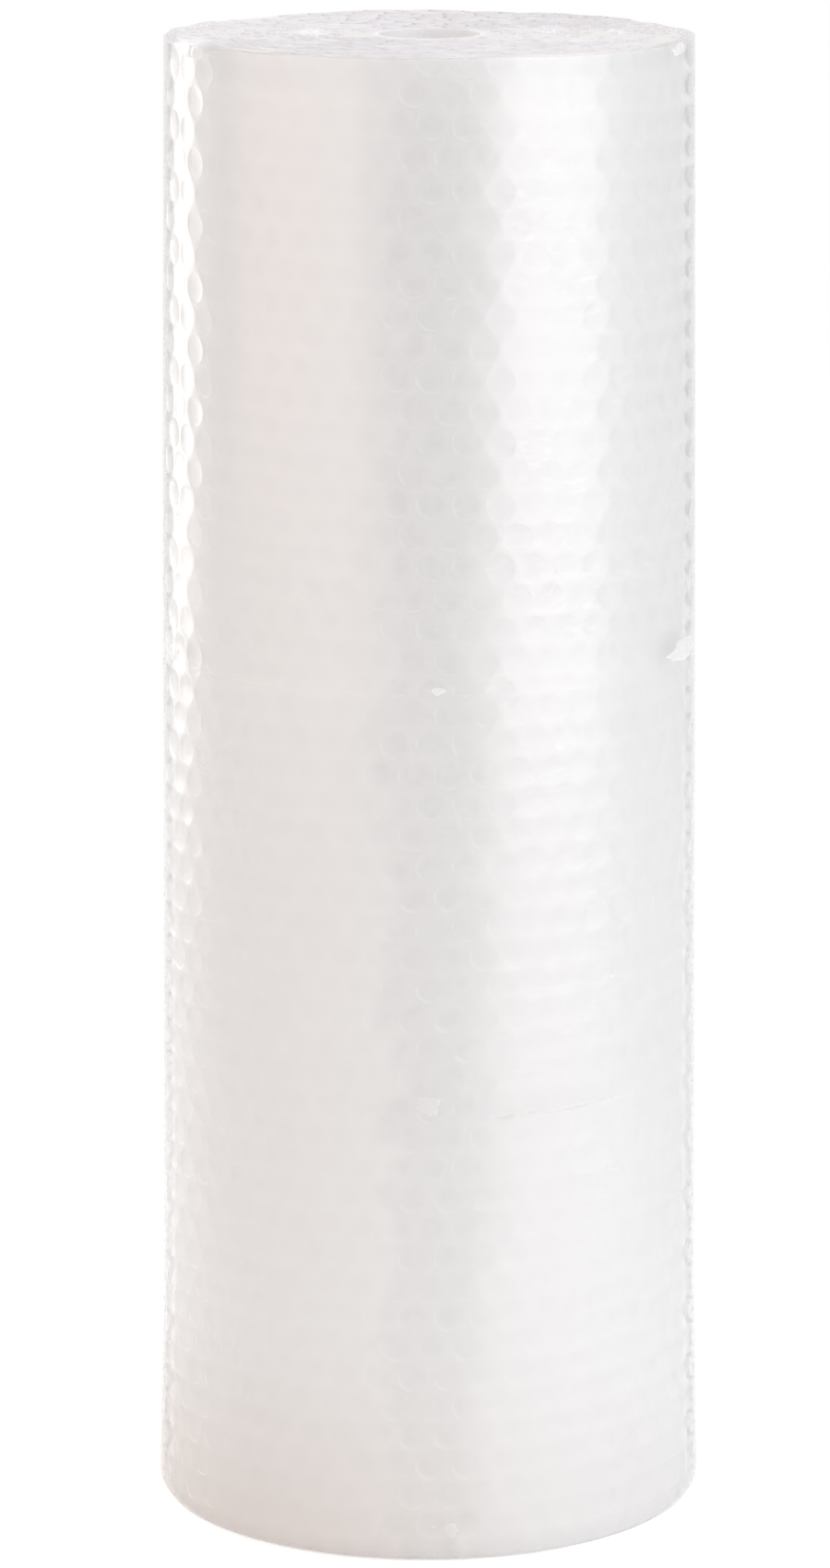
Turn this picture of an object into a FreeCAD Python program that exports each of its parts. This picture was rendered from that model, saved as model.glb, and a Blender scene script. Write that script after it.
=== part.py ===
import FreeCAD, Part
import math
import os

os.makedirs("parts", exist_ok=True)

# All sizes are in millimetres. +Z is up, and z = 0 is the plane the roll stands on.
# +Y is the back of the roll, and the tail of the film lies at the back, left of the middle.

# The whole roll, which widens a little towards its base and more at its foot
TOTAL_HEIGHT = 500.0
SLIT_HEIGHT = 294.5
FOOT_HEIGHT = 75.0
BASE_RADIUS = 92.9
FOOT_RADIUS = 91.5
SLIT_RADIUS = 89.7
TOP_RADIUS = 87.6
WALL_HOLLOW = 0.1
TAIL_ANGLE = 117.0

# The wound film
TURN_PITCH = 4.2
MANDREL_RADIUS = 17.0
INNER_MARGIN = 1.0

# The ends of the turns, as they show at the top and at the base
GROOVE_DEPTH = 1.5
BASE_ROUNDING = 5.3
BASE_LAND = 1.6
ROUNDING_STEPS = 3

# The two edges that the slit cut, which draw in a little towards each other
SLIT_EDGE_HEIGHT = 4.5
SLIT_EDGE_DEPTH = 1.1
SLIT_EDGE_STEPS = 2

# Sizes worked out from those above
HALF_TURN_STEP = TURN_PITCH / 2
CENTRE_OFFSET = TURN_PITCH / 4
ROUGH_HOLE_RADIUS = MANDREL_RADIUS / 2
INNER_LIMIT = MANDREL_RADIUS + INNER_MARGIN + TURN_PITCH


def point(radius, z):
    return FreeCAD.Vector(radius, 0, z)


def joined_lines(points):
    """One straight edge between each point and the next."""
    return [Part.makeLine(start, end) for start, end in zip(points, points[1:])]


def wall(start, end):
    """A stretch of the outer wall, which is very slightly hollow between its ends."""
    middle = (start + end) / 2 - point(WALL_HOLLOW, 0)
    curve = Part.BezierCurve()
    curve.setPoles([start, middle, end])
    return curve.toShape()


def quarter_round(wall_end, inset, rise, steps):
    """Points from the end of a wall round an edge that draws in by inset while it goes up by rise."""
    angles = [math.pi / 2 * number / steps for number in range(steps + 1)]
    return [wall_end + point(-inset * (1 - math.cos(a)), rise * math.sin(a)) for a in angles]


def valley_radii(rim, extra):
    """Radii of the spiral valleys between turns, from the outermost turn inwards."""
    count = int((rim - INNER_LIMIT) / TURN_PITCH)
    return [rim + extra - number * TURN_PITCH for number in range(1, count + 1)]


def roofs(valleys, crest_z, valley_z):
    """Points along the ends of the turns: each is a small roof between two valleys."""
    points = []
    for radius in valleys:
        points.append(point(radius + HALF_TURN_STEP, crest_z))
        points.append(point(radius, valley_z))
    points.append(point(radius - HALF_TURN_STEP, crest_z))
    return points


def base_points(wall_base, extra):
    """The base, from its rounded edge inwards, where a flat land runs round the second turn."""
    rounded = quarter_round(wall_base, BASE_ROUNDING, -BASE_ROUNDING, ROUNDING_STEPS)
    land_end = rounded[-1] - point(BASE_LAND, 0)
    valleys = valley_radii(BASE_RADIUS, extra)[1:]
    return rounded + [land_end, point(valleys[0], GROOVE_DEPTH)] + roofs(valleys[1:], 0, GROOVE_DEPTH)


def lower_section(extra):
    """Edges of the lower roll's half section."""
    wall_base = point(BASE_RADIUS + extra, BASE_ROUNDING)
    foot = point(FOOT_RADIUS + extra, FOOT_HEIGHT)
    wall_top = point(SLIT_RADIUS + extra, SLIT_HEIGHT - SLIT_EDGE_HEIGHT)
    slit_edge = quarter_round(wall_top, SLIT_EDGE_DEPTH, SLIT_EDGE_HEIGHT, SLIT_EDGE_STEPS)
    inside = [point(ROUGH_HOLE_RADIUS, SLIT_HEIGHT), point(ROUGH_HOLE_RADIUS, 0)]
    edges = [wall(wall_base, foot), wall(foot, wall_top)]
    edges += joined_lines(slit_edge + inside + base_points(wall_base, extra)[::-1])
    return edges


def upper_section(extra):
    """Edges of the upper roll's half section."""
    wall_base = point(SLIT_RADIUS + extra, SLIT_HEIGHT + SLIT_EDGE_HEIGHT)
    wall_top = point(TOP_RADIUS + extra, TOTAL_HEIGHT - GROOVE_DEPTH)
    slit_edge = quarter_round(wall_base, SLIT_EDGE_DEPTH, -SLIT_EDGE_HEIGHT, SLIT_EDGE_STEPS)
    inside = [point(ROUGH_HOLE_RADIUS, SLIT_HEIGHT), point(ROUGH_HOLE_RADIUS, TOTAL_HEIGHT)]
    turn_ends = roofs(valley_radii(TOP_RADIUS, extra), TOTAL_HEIGHT, wall_top.z)
    edges = [wall(wall_base, wall_top)]
    edges += joined_lines(slit_edge + inside + turn_ends[::-1] + [wall_top])
    return edges


def half_roll(section, extra, centre, angle):
    """One half of a roll: its section turned half way round a centre of its own."""
    wire = Part.Wire(Part.__sortEdges__(section(extra)))
    half = Part.Face(wire).revolve(FreeCAD.Vector(), FreeCAD.Vector(0, 0, 1), angle)
    half.translate(FreeCAD.Vector(centre, 0, 0))
    return half


def wound_roll(section):
    """A roll wound as a two-centre spiral: the second half is half a turn thicker than the first.

    The step where the two halves meet at the tail angle is the free end of the film.
    """
    first = half_roll(section, 0, -CENTRE_OFFSET, 180)
    second = half_roll(section, HALF_TURN_STEP, CENTRE_OFFSET, -180)
    roll = first.fuse(second)
    roll.rotate(FreeCAD.Vector(), FreeCAD.Vector(0, 0, 1), TAIL_ANGLE)
    roll.translate(FreeCAD.Vector(-CENTRE_OFFSET, -CENTRE_OFFSET, 0))
    return roll.cut(Part.makeCylinder(MANDREL_RADIUS, TOTAL_HEIGHT))


for node, section in (("upper_roll", upper_section), ("lower_roll", lower_section)):
    solid = wound_roll(section).Solids[0]
    solid.exportStep("parts/" + node + ".step")
    print(node, "volume", round(solid.Volume), "valid", solid.isValid())
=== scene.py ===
import logging
import math
from dataclasses import dataclass, field
from enum import Enum

import bpy
import numpy as np
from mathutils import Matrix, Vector


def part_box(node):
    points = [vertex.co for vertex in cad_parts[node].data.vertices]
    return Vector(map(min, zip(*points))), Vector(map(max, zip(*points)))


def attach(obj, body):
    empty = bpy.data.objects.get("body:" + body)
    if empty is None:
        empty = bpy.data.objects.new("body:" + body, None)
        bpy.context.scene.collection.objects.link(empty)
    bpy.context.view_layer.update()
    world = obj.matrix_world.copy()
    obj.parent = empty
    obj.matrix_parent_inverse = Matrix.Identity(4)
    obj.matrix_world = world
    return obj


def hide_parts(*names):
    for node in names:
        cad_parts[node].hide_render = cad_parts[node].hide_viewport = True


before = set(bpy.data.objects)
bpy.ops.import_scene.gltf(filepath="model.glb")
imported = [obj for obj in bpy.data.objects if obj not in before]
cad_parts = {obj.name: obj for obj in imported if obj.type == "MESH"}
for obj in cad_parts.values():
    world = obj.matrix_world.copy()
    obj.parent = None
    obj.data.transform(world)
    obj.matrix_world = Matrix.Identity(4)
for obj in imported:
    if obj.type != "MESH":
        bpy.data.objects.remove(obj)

LOG = logging.getLogger("bubble_wrap_roll")
MM = 0.001
PICTURE_HEIGHT_PX = 1701
SENSOR_MM = 36.0

# Places on the top end that get painted glints, white patches standing in for highlights: X, Y and reach
# in millimetres
PAINTED_GLINT_PLACES = (
    (-38.7, 5.1, 7.0),
    (40.4, 15.3, 7.0),
    (49.4, -28.1, 5.0),
    (-78.0, -26.0, 8.0),
    (62.0, 6.0, 4.0),
)
# Heights above which the painted glints show
PAINTED_GLINT_ABOVE = (0.494, 0.498)


class End(Enum):
    """Which end of a roll a piece belongs to."""

    BASE = "base"
    TOP = "top"


class Role(Enum):
    """What a node tree makes."""

    SURFACE = "surface"
    WORLD = "world"


# Shader tools


class Value:
    """A node socket that Python's arithmetic operators work on."""

    def __init__(self, graph: "Graph", socket: bpy.types.NodeSocket) -> None:
        """Wraps a socket.

        Args:
            graph: The node graph the socket belongs to.
            socket: The output socket to wrap.
        """
        self.graph = graph
        self.socket = socket

    def _maths(self, operation: str, first: object, second: object = 0.0) -> "Value":
        """Adds one Math node.

        Args:
            operation: The Math node's operation.
            first: Its first input, a number or a Value.
            second: Its second input, a number or a Value.

        Returns:
            The node's output.
        """
        return self.graph.node("ShaderNodeMath", {"operation": operation}, {0: first, 1: second})

    def __add__(self, other: object) -> "Value":
        """Self plus other."""
        return self._maths("ADD", self, other)

    def __radd__(self, other: object) -> "Value":
        """Other plus self."""
        return self._maths("ADD", other, self)

    def __sub__(self, other: object) -> "Value":
        """Self less other."""
        return self._maths("SUBTRACT", self, other)

    def __rsub__(self, other: object) -> "Value":
        """Other less self."""
        return self._maths("SUBTRACT", other, self)

    def __mul__(self, other: object) -> "Value":
        """Self times other."""
        return self._maths("MULTIPLY", self, other)

    def __rmul__(self, other: object) -> "Value":
        """Other times self."""
        return self._maths("MULTIPLY", other, self)

    def __truediv__(self, other: object) -> "Value":
        """Self over other."""
        return self._maths("DIVIDE", self, other)

    def fraction(self) -> "Value":
        """The part after the point."""
        return self._maths("FRACT", self)

    def root(self) -> "Value":
        """The square root."""
        return self._maths("SQRT", self)

    def least(self, other: object) -> "Value":
        """The smaller of self and other."""
        return self._maths("MINIMUM", self, other)

    def most(self, other: object) -> "Value":
        """The larger of self and other."""
        return self._maths("MAXIMUM", self, other)

    def angle_with(self, other: object) -> "Value":
        """The angle whose tangent is self over other."""
        return self._maths("ARCTAN2", self, other)

    def smooth(self, low: float, high: float) -> "Value":
        """Rises smoothly from 0 at low to 1 at high."""
        settings = {"interpolation_type": "SMOOTHSTEP"}
        return self.graph.node("ShaderNodeMapRange", settings, {"Value": self, 1: low, 2: high})


class Graph:
    """A node tree and the ways to add nodes to it."""

    def __init__(self, owner: bpy.types.ID) -> None:
        """Empties the owner's node tree.

        Args:
            owner: A material, light or world.
        """
        owner.use_nodes = True
        self.tree = owner.node_tree
        self.tree.nodes.clear()

    def node(self, kind: str, settings: dict, inputs: dict, output: object = 0) -> Value:
        """Adds any node.

        Args:
            kind: The node's type.
            settings: The node's own properties, set first.
            inputs: Input socket names or numbers with a number, a tuple or a Value each.
            output: Name or number of the output to return.

        Returns:
            The chosen output.
        """
        made = self.tree.nodes.new(kind)
        for name, setting in settings.items():
            setattr(made, name, setting)
        for name, given in inputs.items():
            if isinstance(given, Value):
                self.tree.links.new(given.socket, made.inputs[name])
            else:
                made.inputs[name].default_value = given
        return Value(self, made.outputs[output])

    def place(self) -> tuple[Value, Value, Value]:
        """The point's X, Y and Z in the piece's own space, in metres."""
        where = self.node("ShaderNodeTexCoord", {}, {}, "Object")
        parts = [self.node("ShaderNodeSeparateXYZ", {}, {0: where}, n) for n in range(3)]
        return parts[0], parts[1], parts[2]

    def noise(self, scale: float, detail: float = 2.0, roughness: float = 0.5) -> Value:
        """Noise on Object coordinates.

        Args:
            scale: Waves in a metre.
            detail: Number of finer layers.
            roughness: Strength of the finer layers.

        Returns:
            A value around a half.
        """
        where = self.node("ShaderNodeTexCoord", {}, {}, "Object")
        given = {"Vector": where, "Scale": scale, "Detail": detail, "Roughness": roughness}
        return self.node("ShaderNodeTexNoise", {}, given)

    def shown(self) -> Value:
        """1 for rays from the camera, and for those that reach it by a mirror or through film."""
        kinds = ("Is Camera Ray", "Is Glossy Ray", "Is Transmission Ray")
        seen, mirrored, through = [self.node("ShaderNodeLightPath", {}, {}, kind) for kind in kinds]
        return (seen + mirrored + through).least(1.0)

    def blend(self, share: object, first: object, second: object) -> Value:
        """Mixes two colours.

        Args:
            share: How much of the second, a number or a Value.
            first: The first colour.
            second: The second colour.

        Returns:
            The mixed colour.
        """
        made = self.tree.nodes.new("ShaderNodeMix")
        made.data_type = "RGBA"
        for number, given in ((0, share), (6, first), (7, second)):
            if isinstance(given, Value):
                self.tree.links.new(given.socket, made.inputs[number])
            else:
                made.inputs[number].default_value = given
        return Value(self, made.outputs[2])

    def bump(
        self, height: Value, distance: float, strength: object = 1.0, over: Value | None = None
    ) -> Value:
        """A normal that follows a height.

        Args:
            height: The height pattern, 0 to 1.
            distance: How far 0 is from 1, in metres.
            strength: How much the bump counts, a number or a Value.
            over: The normal of a bump that this one lies on.

        Returns:
            The normal.
        """
        given = {"Strength": strength, "Distance": distance, "Height": height}
        if over is not None:
            given["Normal"] = over
        return self.node("ShaderNodeBump", {}, given, "Normal")

    def finish(self, shader: Value, role: Role) -> None:
        """Links the shader to the output.

        Args:
            shader: The last shader.
            role: What the tree makes.
        """
        kind = "ShaderNodeOutputMaterial" if role is Role.SURFACE else "ShaderNodeOutputWorld"
        made = self.tree.nodes.new(kind)
        self.tree.links.new(shader.socket, made.inputs["Surface"])


# The web of film and how it winds


@dataclass(frozen=True)
class Web:
    """The film: a flat sheet with round bubbles on its inner side, in staggered rows."""

    bubble_radius: float = 4.95 * MM
    pitch: float = 11.5 * MM
    row: float = 10.16 * MM
    bubble_depth: float = 3.3 * MM
    turn_pitch: float = 4.2 * MM

    def lattice(self, graph: Graph, across: Value, up: Value) -> Value:
        """Distance from the middle of the nearest bubble, in bubble radii.

        Args:
            graph: The graph to add to.
            across: Distance along the web, in metres.
            up: Height on the web, in metres.

        Returns:
            0 in the middle of a bubble and 1 at its edge.
        """
        nearest = None
        for shift in (0.0, 0.5):
            x = ((across / self.pitch + shift).fraction() - 0.5) * self.pitch
            y = ((up / (2 * self.row) + shift).fraction() - 0.5) * (2 * self.row)
            away = (x * x + y * y).root() / self.bubble_radius
            nearest = away if nearest is None else nearest.least(away)
        return nearest


@dataclass(frozen=True)
class Wall:
    """The outside of the whole roll: its radius at each height, as the solids have it."""

    height: float
    slit: float
    base_radius: float = 92.9 * MM
    foot_radius: float = 91.5 * MM
    foot_height: float = 75.0 * MM
    slit_radius: float = 89.7 * MM
    top_radius: float = 87.6 * MM
    rounding: float = 5.3 * MM
    film_inset: float = 0.35 * MM

    def radius(self, z: np.ndarray) -> np.ndarray:
        """Radius of the wall at heights between the base rounding and the top."""
        heights = (self.rounding, self.foot_height, self.slit, self.height)
        radii = (self.base_radius, self.foot_radius, self.slit_radius, self.top_radius)
        return np.interp(z, heights, radii) - self.film_inset

    def section(self, up: np.ndarray, depth: np.ndarray) -> tuple[np.ndarray, np.ndarray]:
        """Radius and height of points on the web.

        Args:
            up: Distance up the web, which is the height apart from the curl under the base.
            depth: How far inside the film.

        Returns:
            The radii and the heights.
        """
        curl = np.clip((self.rounding - up) / self.rounding, 0, math.pi / 2)
        flat_z = np.maximum(up, self.rounding)
        radius = self.radius(flat_z) - self.rounding * (1 - np.cos(curl)) - depth * np.cos(curl)
        z = np.where(up < self.rounding, self.rounding * (1 - np.sin(curl)) + depth * np.sin(curl), up)
        return radius, z

    def lowest(self) -> float:
        """Distance up the web at which the film ends under the base."""
        return self.rounding * (1 - math.pi / 2)


@dataclass(frozen=True)
class Winding:
    """The two-centre spiral that the film follows, clockwise from its tail as seen from above.

    The tail's angle is in radians from X, and the front's is in degrees from the tail.
    """

    wall: Wall
    web: Web
    tail_angle: float = math.radians(117)
    front_angle: float = 207.0
    hole_radius: float = 17.0 * MM
    nominal_radius: float = 90.5 * MM

    def turns(self) -> float:
        """Number of turns between the outside and the hole."""
        return (self.wall.top_radius - self.hole_radius) / self.web.turn_pitch - 0.6

    def angle(self, along: np.ndarray) -> np.ndarray:
        """Angle from the tail after a length of film."""
        pitch = self.web.turn_pitch
        inside = np.maximum(self.nominal_radius**2 - pitch * along / math.pi, 0)
        return 2 * math.pi / pitch * (self.nominal_radius - np.sqrt(inside))

    def length(self, turns: float) -> float:
        """Length of film in a number of turns from the tail."""
        angle = 2 * math.pi * turns
        return self.nominal_radius * angle - self.web.turn_pitch * angle**2 / (4 * math.pi)

    def point(self, angle: np.ndarray, radius: np.ndarray, z: np.ndarray) -> np.ndarray:
        """Places points on the spiral.

        Args:
            angle: Angle from the tail.
            radius: Radius the outermost turn would have there.
            z: Height.

        Returns:
            One row of X, Y and Z for each point.
        """
        step = self.web.turn_pitch / 2
        half = np.floor(angle / math.pi)
        reach = radius + step - half * step
        side = np.where(half % 2 == 0, 1, -1) * step / 2
        turned = self.tail_angle - angle
        x = side * math.cos(self.tail_angle) - step / 2 + reach * np.cos(turned)
        y = side * math.sin(self.tail_angle) - step / 2 + reach * np.sin(turned)
        return np.stack([x, y, z], axis=1)

    def wind(self, piece: bpy.types.Object) -> None:
        """Winds a flat piece: its X runs along the web, its Y up the web and its Z outwards.

        Args:
            piece: The mesh, laid out flat.
        """
        flat = Bench.read(piece)
        radius, z = self.wall.section(flat[:, 1], -flat[:, 2])
        Bench.write(piece, self.point(self.angle(flat[:, 0]), radius, z))


# Modelling tools


class Bench:
    """Steps that every piece is modelled with."""

    @staticmethod
    def clear() -> None:
        """Deselects everything."""
        bpy.ops.object.select_all(action="DESELECT")

    @staticmethod
    def named(name: str) -> bpy.types.Object:
        """Names the piece just added and its mesh."""
        piece = bpy.context.object
        piece.name = piece.data.name = name
        return piece

    @staticmethod
    def take(piece: bpy.types.Object) -> None:
        """Makes a piece the only selected and active one."""
        Bench.clear()
        piece.select_set(True)
        bpy.context.view_layer.objects.active = piece

    @staticmethod
    def read(piece: bpy.types.Object) -> np.ndarray:
        """The piece's points, one row each."""
        points = np.empty(len(piece.data.vertices) * 3, np.float32)
        piece.data.vertices.foreach_get("co", points)
        return points.reshape(-1, 3).astype(float)

    @staticmethod
    def write(piece: bpy.types.Object, points: np.ndarray) -> None:
        """Moves the piece's points."""
        piece.data.vertices.foreach_set("co", points.astype(np.float32).ravel())
        piece.data.update()

    @staticmethod
    def settle(piece: bpy.types.Object) -> None:
        """Applies the piece's place, turn and scale."""
        Bench.take(piece)
        bpy.ops.object.transform_apply(location=True, rotation=True, scale=True)

    @staticmethod
    def sheet(
        name: str, low: tuple[float, float], high: tuple[float, float], cells: tuple[int, int]
    ) -> bpy.types.Object:
        """A flat grid.

        Args:
            name: The piece's name.
            low: Lowest X and Y.
            high: Highest X and Y.
            cells: Number of cells along X and Y.

        Returns:
            The grid, with its place applied.
        """
        Bench.clear()
        middle = ((low[0] + high[0]) / 2, (low[1] + high[1]) / 2, 0)
        bpy.ops.mesh.primitive_grid_add(
            x_subdivisions=cells[0], y_subdivisions=cells[1], size=1, location=middle
        )
        piece = Bench.named(name)
        piece.scale = (high[0] - low[0], high[1] - low[1], 1)
        Bench.settle(piece)
        return piece

    @staticmethod
    def repeat(piece: bpy.types.Object, count: int, offset: tuple[float, float, float]) -> None:
        """Repeats a piece at even steps.

        Args:
            piece: The piece to repeat.
            count: How many there are afterwards.
            offset: The step from one to the next.
        """
        Bench.take(piece)
        array = piece.modifiers.new("repeat", "ARRAY")
        array.count = count
        array.use_relative_offset = False
        array.use_constant_offset = True
        array.constant_offset_displace = offset
        bpy.ops.object.modifier_apply(modifier=array.name)

    @staticmethod
    def trim(
        piece: bpy.types.Object, place: tuple[float, float, float], normal: tuple[float, float, float]
    ) -> None:
        """Cuts away what lies on the normal's side of a plane, and leaves the cut open.

        Args:
            piece: The piece to cut.
            place: A point on the plane.
            normal: The plane's normal.
        """
        Bench.take(piece)
        bpy.ops.object.mode_set(mode="EDIT")
        bpy.ops.mesh.select_all(action="SELECT")
        bpy.ops.mesh.bisect(plane_co=place, plane_no=normal, clear_outer=True, use_fill=False)
        bpy.ops.object.mode_set(mode="OBJECT")

    @staticmethod
    def outward(piece: bpy.types.Object) -> None:
        """Turns all faces outwards."""
        Bench.take(piece)
        bpy.ops.object.mode_set(mode="EDIT")
        bpy.ops.mesh.select_all(action="SELECT")
        bpy.ops.mesh.normals_make_consistent(inside=False)
        bpy.ops.object.mode_set(mode="OBJECT")

    @staticmethod
    def smooth(piece: bpy.types.Object) -> None:
        """Shades a piece smooth."""
        Bench.take(piece)
        bpy.ops.object.shade_smooth()

    @staticmethod
    def dress(piece: bpy.types.Object, material: bpy.types.Material, slot: str) -> None:
        """Gives a piece its material and body.

        Args:
            piece: The finished piece.
            material: Its material.
            slot: Not used.
        """
        piece.data.materials.clear()
        piece.data.materials.append(material)
        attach(piece, "root")


def flattened(points: np.ndarray) -> np.ndarray:
    """Points of X and Y with Z = 0 added."""
    return np.stack([points[:, 0], points[:, 1], points[:, 0] * 0], axis=1)


def waves(points: np.ndarray, scales: tuple[float, ...], seed: int) -> np.ndarray:
    """A smooth, even unevenness made of sine waves in fixed directions.

    Args:
        points: One row of X, Y and Z for each point.
        scales: Wavelengths, the longest first; each shorter wave is weaker.
        seed: Chooses the directions and phases.

    Returns:
        A value of about -1 to 1 for each point.
    """
    chosen = np.random.default_rng(seed)
    total = np.zeros(len(points))
    for number, scale in enumerate(scales):
        for _ in range(3):
            way = chosen.normal(size=3)
            way *= 2 * math.pi / scale / np.linalg.norm(way)
            total += np.sin(points @ way + chosen.uniform(0, 2 * math.pi)) / (3 * (1 + number))
    return total


# Finishes


@dataclass(frozen=True)
class Pattern:
    """Where the bubbles lie on a flat sheet of film, read from the sheet's UV map."""

    web: Web
    length: float
    low: float
    high: float
    first_row: float
    slope: float

    def place(self, graph: Graph) -> tuple[Value, Value]:
        """Distance along the web and up the web, in metres."""
        where = graph.node("ShaderNodeTexCoord", {}, {}, "UV")
        across, up = [graph.node("ShaderNodeSeparateXYZ", {}, {0: where}, n) for n in range(2)]
        return across * self.length, up * (self.high - self.low) + self.low

    def bubbles(self, graph: Graph, shift: float = 0.0) -> Value:
        """Distance from the nearest bubble's middle, in bubble radii.

        Args:
            graph: The graph to add to.
            shift: How far to take the middles up and towards the tail, in metres.

        Returns:
            0 in the middle of a bubble and 1 at its edge.
        """
        across, up = self.place(graph)
        row_up = up - self.first_row - across * self.slope - shift
        return self.web.lattice(graph, across + shift, row_up)


def painted_glints(graph: Graph) -> Value:
    """1 at the places on the top end that get painted glints, white patches standing in for highlights.

    Args:
        graph: The graph to add to.

    Returns:
        A value of 0 to 1.
    """
    x, y, z = graph.place()
    total = None
    for middle_x, middle_y, reach in PAINTED_GLINT_PLACES:
        across, back = x - middle_x * MM, y - middle_y * MM
        place = 1 - (across * across + back * back * 0.15).root().smooth(0.4 * reach * MM, reach * MM)
        total = place if total is None else total.most(place)
    return total * z.smooth(*PAINTED_GLINT_ABOVE)


@dataclass(frozen=True)
class CoreFinish:
    """The milky mass of turns under the outer one, with the next turn's bubbles showing faintly, and hole
    walls painted lighter and given a painted glow.
    """

    web: Web
    pale: tuple = (0.90, 0.885, 0.865, 1)
    cell: tuple = (0.885, 0.87, 0.85, 1)
    # The hole's walls: painted lighter than the rest, and the colour of their painted glow
    inner: tuple = (0.92, 0.905, 0.91, 1)
    # Colour of the painted glints on the top end
    painted_glint: tuple = (1.0, 1.0, 1.0, 1)
    # Strength of the painted glow on the hole's walls, standing in for light passing through the turns
    glow: float = 0.06
    inner_radius: float = 22.0 * MM
    roughness: float = 0.42
    metallic: float = 0.25
    lattice_radius: float = 86.5 * MM
    lattice_shift: tuple[float, float] = (3.1 * MM, 4.2 * MM)
    relief: float = 0.12 * MM

    def material(self, name: str, slope: float) -> bpy.types.Material:
        """Makes the material.

        Args:
            name: The material's name.
            slope: How much the bubble rows rise along the web.

        Returns:
            The material.
        """
        made = bpy.data.materials.new(name)
        graph = Graph(made)
        x, y, z = graph.place()
        along = y.angle_with(x) * self.lattice_radius
        across, up = along + self.lattice_shift[0], z + along * slope + self.lattice_shift[1]
        away = self.web.lattice(graph, across, up)
        cells = away.smooth(0.5, 1.1)
        cloud = graph.noise(9.0, 3.0)
        outer = graph.blend(cells * 0.4 + cloud * 0.6, self.cell, self.pale)
        out = (x * x + y * y).root().smooth(self.inner_radius * 0.78, self.inner_radius * 0.9)
        # Inside the hole the walls are painted lighter, against the shade there
        colour = graph.blend(out, self.inner, outer)
        given = {
            # Painted glints: white patches on the top end standing in for highlights
            "Base Color": graph.blend(painted_glints(graph), colour, self.painted_glint),
            # Painted glow on the hole's walls
            "Emission Color": graph.blend(out, self.inner, (0, 0, 0, 1)),
            "Emission Strength": self.glow,
            "Roughness": cloud * 0.12 + self.roughness,
            "Metallic": self.metallic,
            "Normal": graph.bump(cells * 0.5 + cloud * 0.5, self.relief),
        }
        graph.finish(graph.node("ShaderNodeBsdfPrincipled", {}, given), Role.SURFACE)
        return made


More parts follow.
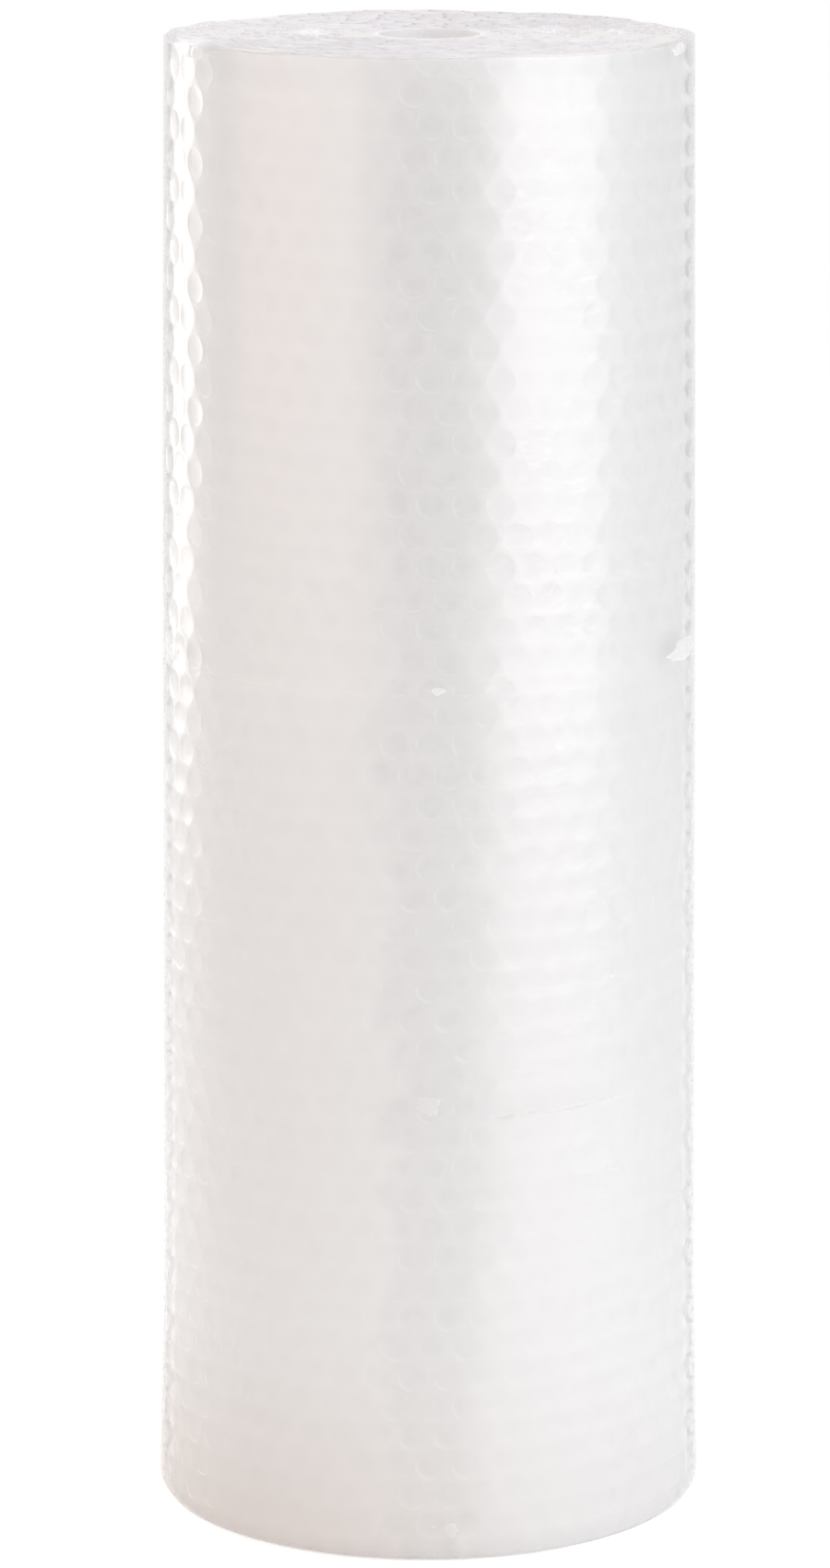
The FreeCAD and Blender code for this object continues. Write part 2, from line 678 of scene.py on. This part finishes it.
@dataclass(frozen=True)
class FilmFinish:
    """Clear, glossy film that is a little hazy and drawn in over each bubble.

    Round the roll it changes in stretches, each given by the angles, in radians from the front, where it
    comes in and goes out.
    """

    tint: tuple = (0.93, 0.93, 0.935, 1)
    # Painted shade: darker, warmer colour near the base on the left
    painted_foot_shade: tuple = (0.85, 0.79, 0.75, 1)
    # Painted shade: darker, cooler colour on the front stretch and along the top rim
    painted_shade: tuple = (0.845, 0.85, 0.86, 1)
    foot_height: float = 0.085
    haze: float = 0.50
    spot: float = 0.055
    # How much more opaque the film gets at the painted highlights: crescents and dashes
    crescent: float = 0.085
    dash: float = 0.035
    roughness: float = 0.20
    metallic: float = 0.16
    dimple: float = 0.19 * MM
    wrinkle: float = 0.04 * MM
    pucker: float = 0.08 * MM
    broad_scale: float = 34.0
    fine_scale: float = 150.0
    uneven_scale: float = 120.0
    pucker_scales: tuple[float, float] = (105.0, 270.0)
    crescent_shift: float = 1.0 * MM
    calm_angles: tuple = (-0.98, -0.80, -0.26, -0.08)
    spots_and_painted_shade_angles: tuple = (-0.22, -0.06, 0.08, 0.26)
    painted_highlight_band_angles: tuple = (0.14, 0.30, 0.62, 0.90)
    side_angles: tuple = (-2.3, -1.7, -1.0, -0.84)
    painted_foot_shade_angles: tuple = (-2.4, -1.6, -0.5, 0.5)
    faint_heights: tuple = (0.08, 0.34)
    painted_rim_shade_heights: tuple = (0.484, 0.498)

    @staticmethod
    def stretch(turned: Value, angles: tuple, fall: float = 1.0) -> Value:
        """1 in a stretch of angles.

        Args:
            turned: The angle.
            angles: Where it starts and ends coming in, and where it starts and ends going out.
            fall: How much of it goes out.

        Returns:
            A value of 0 to 1.
        """
        return turned.smooth(angles[0], angles[1]) * (1 - turned.smooth(angles[2], angles[3]) * fall)

    def stretches(self, graph: Graph) -> list[Value]:
        """Where the film is calm, spotted and painted with shade at the front, painted with highlight
        dashes, loose, and painted with shade at the foot.

        Args:
            graph: The graph to add to.

        Returns:
            Seven values of 0 to 1: the five stretches, how faint the discs get lower down, and the top
                rim, which is painted with shade.
        """
        x, y, z = graph.place()
        ragged = graph.noise(22.0, 1.0) * 0.16 + graph.noise(75.0, 1.0) * 0.2 - 0.18
        turned = x.angle_with(0 - y) + ragged
        calm = self.stretch(turned, self.calm_angles)
        spots_and_painted_shade = self.stretch(turned, self.spots_and_painted_shade_angles)
        painted_highlight_band = self.stretch(turned, self.painted_highlight_band_angles)
        side = self.stretch(turned, self.side_angles)
        # Painted shade near the base on the left side
        painted_foot_shade_share = (1 - z.smooth(0.0, self.foot_height)) * self.stretch(turned, self.painted_foot_shade_angles, 0.9)
        faint = 1 - z.smooth(*self.faint_heights)
        # The top rim, painted with shade
        rim = z.smooth(*self.painted_rim_shade_heights)
        return [calm, spots_and_painted_shade, painted_highlight_band, side, painted_foot_shade_share, faint, rim]

    def puckers(self, graph: Graph, pattern: Pattern) -> Value:
        """Noise that is drawn out along the web.

        Args:
            graph: The graph to add to.
            pattern: Gives the places on the sheet.

        Returns:
            A value around a half.
        """
        across, up = pattern.place(graph)
        scaled = {0: across * self.pucker_scales[0], 1: up * self.pucker_scales[1]}
        stretched = graph.node("ShaderNodeCombineXYZ", {}, scaled)
        return graph.node("ShaderNodeTexNoise", {}, {"Vector": stretched, "Scale": 1.0, "Detail": 1.0})

    def material(self, name: str, pattern: Pattern) -> bpy.types.Material:
        """Makes the material.

        Args:
            name: The material's name.
            pattern: Where the bubbles lie on the sheet.

        Returns:
            The material.
        """
        made = bpy.data.materials.new(name)
        graph = Graph(made)
        away = pattern.bubbles(graph)
        broad = graph.noise(self.broad_scale, 2.0)
        fine = graph.noise(self.fine_scale, 2.0)
        flat = away.smooth(0.8, 1.05)
        bowl = away.smooth(0.2, 1.2)
        calm, spots_and_painted_shade, painted_highlight_band, side, painted_foot_shade_share, faint, rim = self.stretches(graph)
        uneven = graph.noise(self.uneven_scale, 1.0).smooth(0.40, 0.64)
        beside = pattern.bubbles(graph, self.crescent_shift)
        shown = spots_and_painted_shade * uneven * (1 - faint * 0.5) * 0.8 + 0.06
        spots = (1 - beside.smooth(0.45, 1.0)) * shown + spots_and_painted_shade * 0.55
        arcs = beside.smooth(0.90, 1.04) * (1 - away.smooth(0.88, 1.0)) * uneven
        arcs = arcs * (spots_and_painted_shade * (1 - faint * 0.65) + side + 0.06)
        pucker = self.puckers(graph, pattern)
        dashes = pucker.smooth(0.50, 0.70) * painted_highlight_band * broad.smooth(0.42, 0.62) * (1 - faint * 0.8)
        # Painted highlights in the haze: the film is more opaque in crescents at the bubble edges and in
        # dashes in the band facing the right lamps. The spots make it clearer over each bubble, as real
        # film is, and over the whole front stretch, which adds painted shade there.
        haze = (broad - 0.5) * 0.08 + self.haze - spots * self.spot + arcs * self.crescent
        haze = haze + dashes * self.dash
        loose = 1 - calm * 0.8 + side * 1.2 - spots_and_painted_shade * (faint * 0.3 + 0.35)
        discs = graph.bump(flat * 0.2 + bowl * 0.7, self.dimple, (broad * 2.4 - 0.3) * loose)
        relief = fine * self.wrinkle + pucker * broad * (2.0 - faint * 1.4) * self.pucker
        # Painted shade on the front stretch and along the top rim
        colour = graph.blend(spots_and_painted_shade.most(rim), self.tint, self.painted_shade)
        given = {
            # Painted shade near the base on the left side
            "Base Color": graph.blend(painted_foot_shade_share, colour, self.painted_foot_shade),
            "Roughness": broad * 0.10 + self.roughness,
            "Alpha": haze,
            "Metallic": self.metallic,
            "IOR": 1.52,
            "Specular IOR Level": 1.0,
            "Normal": graph.bump(relief, 1.0, 1.0, discs),
        }
        graph.finish(graph.node("ShaderNodeBsdfPrincipled", {}, given), Role.SURFACE)
        return made


@dataclass(frozen=True)
class BubbleFinish:
    """The thin film of the bubbles' domes, and of loose, crumpled bits."""

    tint: tuple = (0.985, 0.985, 0.985, 1)
    haze: float = 0.16
    rim_haze: float = 0.0
    roughness: float = 0.2
    wrinkle: float = 0.06 * MM
    wrinkle_scale: float = 300.0

    def material(self, name: str) -> bpy.types.Material:
        """Makes the material.

        Args:
            name: The material's name.

        Returns:
            The material.
        """
        made = bpy.data.materials.new(name)
        graph = Graph(made)
        fine = graph.noise(self.wrinkle_scale, 2.0)
        where = graph.node("ShaderNodeTexCoord", {}, {}, "UV")
        rim = graph.node("ShaderNodeSeparateXYZ", {}, {0: where}, 1).smooth(0.2, 0.5)
        given = {
            "Base Color": self.tint,
            "Roughness": fine * 0.12 + self.roughness,
            "Alpha": rim * (self.rim_haze - self.haze) + self.haze + fine * 0.03,
            "IOR": 1.52,
            "Normal": graph.bump(fine, self.wrinkle),
        }
        graph.finish(graph.node("ShaderNodeBsdfPrincipled", {}, given), Role.SURFACE)
        return made


@dataclass(frozen=True)
class EdgeFinish:
    """The cut edges of the turns at the ends of a roll, thin enough for light to pass through."""

    pale: tuple = (0.862, 0.848, 0.868, 1)
    deep: tuple = (0.822, 0.803, 0.828, 1)
    # Colour of the painted glints on the top end
    painted_glint: tuple = (0.985, 0.98, 0.98, 1)
    passing: tuple = (0.872, 0.858, 0.883, 1)
    roughness: float = 0.35
    see_through: float = 0.6
    mottle_scale: float = 110.0
    broad_scale: float = 22.0
    relief: float = 0.3 * MM

    def material(self, name: str) -> bpy.types.Material:
        """Makes the material.

        Args:
            name: The material's name.

        Returns:
            The material.
        """
        made = bpy.data.materials.new(name)
        graph = Graph(made)
        mottle = graph.noise(self.mottle_scale, 3.0, 0.65)
        broad = graph.noise(self.broad_scale, 2.0)
        colour = graph.blend((mottle * 0.7 + broad * 0.3).smooth(0.35, 0.62), self.deep, self.pale)
        # Painted glints: mottled white patches on the turn ends standing in for highlights
        painted_glint = painted_glints(graph) * mottle.smooth(0.40, 0.56)
        given = {
            "Base Color": graph.blend(painted_glint, colour, self.painted_glint),
            "Roughness": mottle * 0.2 + self.roughness,
            "Normal": graph.bump(mottle, self.relief),
        }
        surface = graph.node("ShaderNodeBsdfPrincipled", {}, given)
        passing = graph.node("ShaderNodeBsdfTranslucent", {}, {"Color": self.passing})
        mixed = graph.node("ShaderNodeMixShader", {}, {0: self.see_through, 1: surface, 2: passing})
        graph.finish(mixed, Role.SURFACE)
        return made


@dataclass(frozen=True)
class FloorFinish:
    """A plain white floor that keeps the roll's soft shadow."""

    colour: tuple = (0.92, 0.92, 0.92, 1)
    lift: float = 0.49

    def material(self, name: str) -> bpy.types.Material:
        """Makes the material.

        Args:
            name: The material's name.

        Returns:
            The material.
        """
        made = bpy.data.materials.new(name)
        graph = Graph(made)
        lit = graph.node("ShaderNodeBsdfDiffuse", {}, {"Color": self.colour})
        glow = graph.node("ShaderNodeEmission", {}, {"Strength": graph.shown() * self.lift})
        graph.finish(graph.node("ShaderNodeAddShader", {}, {0: lit, 1: glow}), Role.SURFACE)
        return made


# The roll


@dataclass(frozen=True)
class Crumple:
    """A small bit of film that stands out from its surroundings in sharp folds.

    Its middle lies at an angle in degrees from the tail, and tilt is how much it rises along the web.
    """

    turned: float
    height: float
    size: tuple[float, float]
    bulge: float
    seed: int
    tilt: float = 0.0
    cell: float = 0.8 * MM
    fold_scales: tuple[float, float] = (4.5 * MM, 2.2 * MM)
    top_margin: float = 0.2 * MM

    def build(self, winding: Winding, name: str) -> bpy.types.Object:
        """Makes the bit and winds it on the roll.

        Args:
            winding: The spiral it follows.
            name: The piece's name.

        Returns:
            The piece.
        """
        wide, tall = self.size
        cells = (max(int(wide / self.cell), 5), max(int(tall / self.cell), 5))
        piece = Bench.sheet(name, (-1, -1), (1, 1), cells)
        flat = Bench.read(piece)
        square = flat[:, :2].copy()
        disc = square * np.sqrt(1 - square[:, ::-1] ** 2 / 2)
        ragged = 1 + 0.25 * waves(flattened(disc), (1.1, 0.5), self.seed)
        disc *= ragged[:, None] * (wide / 2, tall / 2)
        within = np.clip(1 - (square**2).max(axis=1), 0, 1)
        folds = np.abs(waves(flattened(disc), self.fold_scales, self.seed + 3))
        flat[:, 0] = disc[:, 0] + winding.length(self.turned / 360)
        flat[:, 1] = disc[:, 1] + disc[:, 0] * self.tilt + self.height
        flat[:, 1] = np.minimum(flat[:, 1], winding.wall.height - self.top_margin)
        flat[:, 2] = self.bulge * np.sqrt(within) * (0.2 + folds)
        Bench.write(piece, flat)
        winding.wind(piece)
        return piece


@dataclass
class FilmRoll:
    """One of the two roll widths: its mass of turns, outer film, bubbles and turn ends.

    Low and high are the heights between which it lies. Its bubble rows rise by row_slope along the web,
    and one of them crosses the front of the roll at the height front_row.
    """

    name: str
    low: float
    high: float
    row_slope: float
    front_row: float
    winding: Winding
    slot: str
    seed: int
    ends: tuple[End, ...]
    marks: tuple[Crumple, ...]
    crumple_haze: float
    crumple_tint: tuple = (0.99, 0.985, 0.985, 1)
    crumple_roughness: float = 0.08
    columns: int = 150
    core_steps: int = 64
    core_inset: float = 0.2 * MM
    film_cells: int = 260
    film_row: float = 3.5 * MM
    bubble_inset: float = 0.12 * MM
    bubble_margin: float = 1.3 * MM
    overlap: float = 0.04
    base_wall_z: float = 6 * MM
    turn_spread: float = 2 * MM
    end_relief: float = 0.6 * MM
    end_root: float = 1.2 * MM
    end_roughness: float = 0.55 * MM
    end_drop: float = 0.25 * MM
    end_wander: float = 0.35 * MM
    end_inset: float = 0.3 * MM
    top_wobble: float = 1.3 * MM
    wobble_reach: float = 12 * MM
    swell: float = 0.08 * MM
    swell_reach: float = 6 * MM
    pieces: list = field(default_factory=list)

    def build(self) -> None:
        """Builds all the pieces of this roll."""
        self.core()
        self.film()
        self.bubbles()
        self.crumples()
        for end in self.ends:
            self.turn_ends(end)

    def lowest(self) -> float:
        """Distance up the web at which this roll's film starts."""
        return self.winding.wall.lowest() if self.low <= 0 else self.low

    def pattern(self) -> Pattern:
        """Where the bubbles lie on this roll's outer turn."""
        web, winding = self.winding.web, self.winding
        rise = abs(self.row_slope) * winding.length(1)
        start = self.front_row - self.row_slope * winding.length(winding.front_angle / 360)
        rows = math.ceil((start - self.lowest() + rise + web.row / 2) / web.row)
        length = winding.length(1 + self.overlap)
        return Pattern(web, length, self.lowest(), self.high, start - rows * web.row, self.row_slope)

    def keep(self, piece: bpy.types.Object, material: bpy.types.Material) -> None:
        """Dresses a finished piece and lists it.

        Args:
            piece: The piece.
            material: Its material.
        """
        Bench.dress(piece, material, self.slot)
        self.pieces.append(piece)

    def core(self) -> None:
        """The mass of turns inside the outer one, from the slit or end faces to the mandrel hole."""
        Bench.clear()
        steps = self.core_steps
        bpy.ops.mesh.primitive_torus_add(
            major_segments=self.columns, minor_segments=steps, major_radius=1, minor_radius=0.3
        )
        piece = Bench.named(self.name + "_turns")
        points = Bench.read(piece)
        angle = np.arctan2(points[:, 1], points[:, 0]) % (2 * math.pi)
        ring = np.hypot(points[:, 0], points[:, 1]) - 1
        around = np.round((np.arctan2(points[:, 2], ring) / (2 * math.pi) % 1) * steps) / steps
        inset = self.end_relief
        base_z = inset if End.BASE in self.ends else 0.0
        top_z = inset if End.TOP in self.ends else 0.0
        corners = [step / steps for step in (0, 26, 34, 38, 46, steps)]
        share = np.interp(around, corners, (0.5, 1, 1, 0, 0, 0.5))
        inwards = np.interp(around, corners, (0, 0, 1, 1, 0, 0))
        lowest = self.low + base_z
        z = lowest + (self.high - top_z - lowest) * share
        spiral = 2 * math.pi + angle
        wall_z = np.maximum(z, self.winding.wall.rounding)
        radius, _ = self.winding.wall.section(wall_z, np.zeros(len(z)))
        outer = self.winding.point(spiral, radius - self.core_inset, z)
        turned = self.winding.tail_angle - spiral
        hole = self.winding.hole_radius
        inner = np.stack([hole * np.cos(turned), hole * np.sin(turned), z], axis=1)
        Bench.write(piece, outer + (inner - outer) * inwards[:, None])
        Bench.outward(piece)
        Bench.smooth(piece)
        bpy.ops.object.shade_smooth_by_angle(angle=math.radians(40))
        self.keep(piece, CoreFinish(self.winding.web).material(piece.name, self.row_slope))
        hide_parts(self.name)

    def unevenness(self, flat: np.ndarray) -> np.ndarray:
        """How far the outermost turn stands out from an even spiral at points laid out flat."""
        wall = self.winding.wall
        above_foot = np.clip((flat[:, 1] - wall.rounding) / self.swell_reach, 0, 1)
        return self.swell * above_foot * waves(flat * (1, 1, 0), (0.09, 0.05), self.seed)

    def film(self) -> None:
        """The flat film of the outermost turn."""
        pattern = self.pattern()
        cells = (self.film_cells, int((self.high - self.low) / self.film_row))
        corner = (pattern.length, pattern.high)
        piece = Bench.sheet(self.name + "_film", (0, pattern.low), corner, cells)
        flat = Bench.read(piece)
        flat[:, 2] += self.unevenness(flat)
        if End.TOP in self.ends:
            near_top = np.clip(1 - (self.high - flat[:, 1]) / self.wobble_reach, 0, 1)
            drop = 0.5 + 0.5 * waves(flat * (1, 0, 0), (0.05, 0.021), self.seed + 1)
            flat[:, 1] -= np.clip(drop, 0, 1) * near_top * self.top_wobble
        Bench.write(piece, flat)
        self.winding.wind(piece)
        Bench.outward(piece)
        Bench.smooth(piece)
        self.keep(piece, FilmFinish().material(piece.name, pattern))

    def one_bubble(self, name: str) -> bpy.types.Object:
        """One bubble's dome, open where the flat film closes it, lying flat below Z = 0.

        Args:
            name: The piece's name.

        Returns:
            The bubble, at the first place of the lattice.
        """
        web = self.winding.web
        Bench.clear()
        bpy.ops.mesh.primitive_uv_sphere_add(segments=12, ring_count=6, radius=web.bubble_radius)
        piece = Bench.named(name)
        Bench.trim(piece, (0, 0, 0), (0, 0, 1))
        points = Bench.read(piece)
        points[:, 2] *= web.bubble_depth / web.bubble_radius
        points[:, 2] -= self.bubble_inset
        Bench.write(piece, points)
        return piece

    def bubbles(self) -> None:
        """All the bubbles of the outermost turn, cut off where the web's edges cut them."""
        web = self.winding.web
        pattern = self.pattern()
        length = self.winding.length(1)
        columns = int(length / web.pitch) + 3
        pairs = int((self.high - pattern.first_row + abs(self.row_slope) * length) / (2 * web.row)) + 2
        piece = self.one_bubble(self.name + "_bubbles")
        Bench.repeat(piece, columns, (web.pitch, 0, 0))
        Bench.repeat(piece, 2, (web.pitch / 2, web.row, 0))
        Bench.repeat(piece, pairs, (0, 2 * web.row, 0))
        flat = Bench.read(piece)
        flat[:, 0] -= web.pitch
        flat[:, 1] += pattern.first_row + flat[:, 0] * self.row_slope
        flat[:, 2] += self.unevenness(flat)
        Bench.write(piece, flat)
        margin = self.bubble_margin
        Bench.trim(piece, (0, self.lowest() + margin, 0), (0, -1, 0))
        Bench.trim(piece, (0, self.high - margin, 0), (0, 1, 0))
        Bench.trim(piece, (margin, 0, 0), (-1, 0, 0))
        Bench.trim(piece, (length - margin, 0, 0), (1, 0, 0))
        self.winding.wind(piece)
        Bench.smooth(piece)
        self.keep(piece, BubbleFinish().material(piece.name))

    def crumples(self) -> None:
        """The crumpled bits of film at the cut edges and the marks on the wall, as one piece."""
        made = [
            crumple.build(self.winding, f"{self.name}_crumple_{number}")
            for number, crumple in enumerate(self.marks)
        ]
        Bench.take(made[0])
        for piece in made:
            piece.select_set(True)
        bpy.ops.object.join()
        piece = Bench.named(self.name + "_crumples")
        Bench.smooth(piece)
        haze = self.crumple_haze
        finish = BubbleFinish(self.crumple_tint, haze, haze, self.crumple_roughness)
        self.keep(piece, finish.material(piece.name))

    def turn_ends(self, end: End) -> None:
        """The edges of all the turns at one end: flat film, and bubble film that waves beside it.

        Args:
            end: Which end of the roll.
        """
        web, winding = self.winding.web, self.winding
        start, length = winding.length(1), winding.length(winding.turns())
        for part, cells_per_bubble in (("flat", 2), ("bubble", 10)):
            cells = int((length - start) / web.pitch * cells_per_bubble)
            name = f"{self.name}_{end.value}_{part}_edges"
            corner = (length, self.end_relief)
            piece = Bench.sheet(name, (start, -self.end_root), corner, (cells, 2))
            flat = Bench.read(piece)
            beside = (flat[:, 0] / web.pitch) % 1 * web.pitch - web.pitch / 2
            bulge = np.sqrt(np.clip(1 - (beside / web.bubble_radius) ** 2, 0, 1))
            depth = bulge * web.bubble_depth * 0.95 if part == "bubble" else np.zeros(len(flat))
            angle = winding.angle(flat[:, 0])
            wall_z = self.high if end is End.TOP else self.base_wall_z
            radius = winding.wall.radius(np.full(len(flat), wall_z))
            if end is End.BASE:
                radius = radius - winding.wall.rounding * 0.6
            spread = np.stack([flat[:, 0], angle * self.turn_spread, angle * 0], axis=1)
            rough = waves(spread, (0.031, 0.013, 0.006), self.seed + 5)
            free = np.clip(flat[:, 1] / self.end_relief, 0, 1)
            up = flat[:, 1] + free * rough * self.end_roughness - free * self.end_drop
            up = np.minimum(up, self.end_relief)
            z = self.high - self.end_relief + up if end is End.TOP else self.end_relief - up
            beside = np.stack([flat[:, 0], flat[:, 1], depth], axis=1)
            wander = free * self.end_wander * waves(beside, (0.02, 0.008), self.seed + 9)
            Bench.write(piece, winding.point(angle, radius - depth + wander - self.end_inset, z))
            Bench.smooth(piece)
            self.keep(piece, EdgeFinish().material(name))


# The studio


@dataclass(frozen=True)
class Lamp:
    """A soft box, at an azimuth in degrees from the front, that faces a height on the roll's axis."""

    name: str
    azimuth: float
    distance: float
    height: float
    size: tuple[float, float]
    radiance: float
    colour: tuple[float, float, float]
    aim_height: float = 0.25
    spread: float = 180.0

    def add(self) -> None:
        """Adds the lamp to the scene."""
        data = bpy.data.lights.new(self.name, "AREA")
        data.shape = "RECTANGLE"
        data.size, data.size_y = self.size
        data.energy = self.radiance * math.pi * self.size[0] * self.size[1]
        data.color = self.colour
        data.spread = math.radians(self.spread)
        lamp = bpy.data.objects.new(self.name, data)
        turn = math.radians(self.azimuth)
        lamp.location = (self.distance * math.sin(turn), -self.distance * math.cos(turn), self.height)
        away = lamp.location - Vector((0, 0, self.aim_height))
        lamp.rotation_euler = away.to_track_quat("Z", "Y").to_euler()
        bpy.context.scene.collection.objects.link(lamp)


@dataclass(frozen=True)
class Studio:
    """Floor, lamps, surroundings and camera."""

    camera_place: tuple[float, float, float] = (-4.73 * MM, -2.0653, 0.68676)
    camera_pitch: float = 12.06
    focal_px: float = 6749.84
    floor_size: float = 14.0
    straight_down: float = -90.0
    floor_spread: float = 50.0
    ambient: float = 0.555
    sky: tuple = (0.995, 0.99, 1.0, 1)

    def build(self) -> None:
        """Builds the whole studio."""
        self.floor()
        self.surroundings()
        for lamp in self.lamps():
            lamp.add()
        self.camera()
        bpy.context.scene.view_settings.view_transform = "Standard"

    def lamps(self) -> list[Lamp]:
        """The lamps round the roll and overhead, and three that light no more than the floor beside it."""
        down = (self.straight_down, self.floor_spread)
        return [
            Lamp("right_box", 62, 1.5, 0.8, (1.9, 1.6), 0.33, (0.915, 0.925, 1.0), 0.8),
            Lamp("right_core", 54, 1.45, 0.8, (1.25, 1.6), 0.98, (1.0, 1.0, 1.0), 0.8),
            Lamp("rear_strip", -131, 1.6, 0.8, (0.5, 1.6), 2.6, (1.0, 0.99, 0.97), 0.8),
            Lamp("left_fill", -58, 1.9, 0.6, (2.35, 1.2), 0.80, (1.0, 0.78, 0.70), 0.3),
            Lamp("top_box", 0, 0.1, 1.9, (1.8, 1.8), 0.6, (1.0, 1.0, 1.0), 0.0),
            Lamp("right_floor", 57, 0.52, 0.6, (0.6, 0.7), 0.36, (0.97, 0.97, 1.0), *down),
            Lamp("front_floor", -30, 0.50, 0.6, (0.7, 0.5), 0.06, (1.0, 0.75, 0.45), *down),
            Lamp("left_floor", -131, 0.50, 0.6, (0.35, 0.7), 0.28, (1.0, 0.97, 0.92), *down),
        ]

    def floor(self) -> None:
        """A floor large enough to fill every view."""
        Bench.clear()
        bpy.ops.mesh.primitive_plane_add(size=self.floor_size)
        piece = Bench.named("floor")
        piece.data.materials.append(FloorFinish().material("floor"))

    def surroundings(self) -> None:
        """Even light from all round, seen as white by the camera and in reflections."""
        world = bpy.data.worlds.new("surroundings")
        bpy.context.scene.world = world
        graph = Graph(world)
        strength = graph.shown() * (1 - self.ambient) + self.ambient
        given = {"Color": self.sky, "Strength": strength}
        graph.finish(graph.node("ShaderNodeBackground", {}, given), Role.WORLD)

    def camera(self) -> None:
        """The camera, from the vanishing of the rows and the roll's outline in the photograph."""
        data = bpy.data.cameras.new("camera")
        data.sensor_width = SENSOR_MM
        data.lens = self.focal_px / PICTURE_HEIGHT_PX * SENSOR_MM
        data.clip_end = 100
        camera = bpy.data.objects.new("camera", data)
        camera.location = self.camera_place
        camera.rotation_euler = (math.radians(90 - self.camera_pitch), 0, 0)
        bpy.context.scene.collection.objects.link(camera)
        bpy.context.scene.camera = camera


def upper_marks() -> tuple[Crumple, ...]:
    """The crumpled bits along the slit and the top edge."""
    return (
        Crumple(136, 298.0 * MM, (26 * MM, 7 * MM), 0.9 * MM, 3),
        Crumple(205, 295.6 * MM, (5 * MM, 2.6 * MM), 0.5 * MM, 4),
        Crumple(278, 297.0 * MM, (12 * MM, 5 * MM), 0.6 * MM, 5),
        Crumple(139, 497.6 * MM, (14 * MM, 4 * MM), 0.6 * MM, 6),
        Crumple(268, 497.4 * MM, (22 * MM, 4.4 * MM), 0.6 * MM, 7),
    )


def lower_marks() -> tuple[Crumple, ...]:
    """The crease, the flat bubble and the folded spot on the wall of the lower roll."""
    return (
        Crumple(177, 153.2 * MM, (52 * MM, 1.6 * MM), 0.16 * MM, 13, -0.03),
        Crumple(206.7, 157.5 * MM, (8 * MM, 7 * MM), 0.3 * MM, 14),
        Crumple(202, 12.0 * MM, (4 * MM, 5 * MM), 0.5 * MM, 15),
    )


def main() -> None:
    """Builds the roll and the studio in order."""
    logging.basicConfig(level=logging.INFO, format="%(name)s: %(message)s")
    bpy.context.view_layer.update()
    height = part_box("upper_roll")[1].z
    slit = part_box("lower_roll")[1].z
    winding = Winding(Wall(height, slit), Web())
    upper = FilmRoll(
        name="upper_roll",
        low=slit,
        high=height,
        row_slope=0.040,
        front_row=305.5 * MM,
        winding=winding,
        slot="upper_film",
        seed=11,
        ends=(End.TOP,),
        marks=upper_marks(),
        crumple_haze=0.7,
    )
    lower = FilmRoll(
        name="lower_roll",
        low=0.0,
        high=slit,
        row_slope=-0.014,
        front_row=287.8 * MM,
        winding=winding,
        slot="lower_film",
        seed=23,
        ends=(End.BASE,),
        marks=lower_marks(),
        crumple_haze=0.5,
    )
    for roll in (upper, lower):
        roll.build()
        for piece in roll.pieces:
            LOG.info("%s: %d faces", piece.name, len(piece.data.polygons))
    Studio().build()


if __name__ == "__main__":
    main()
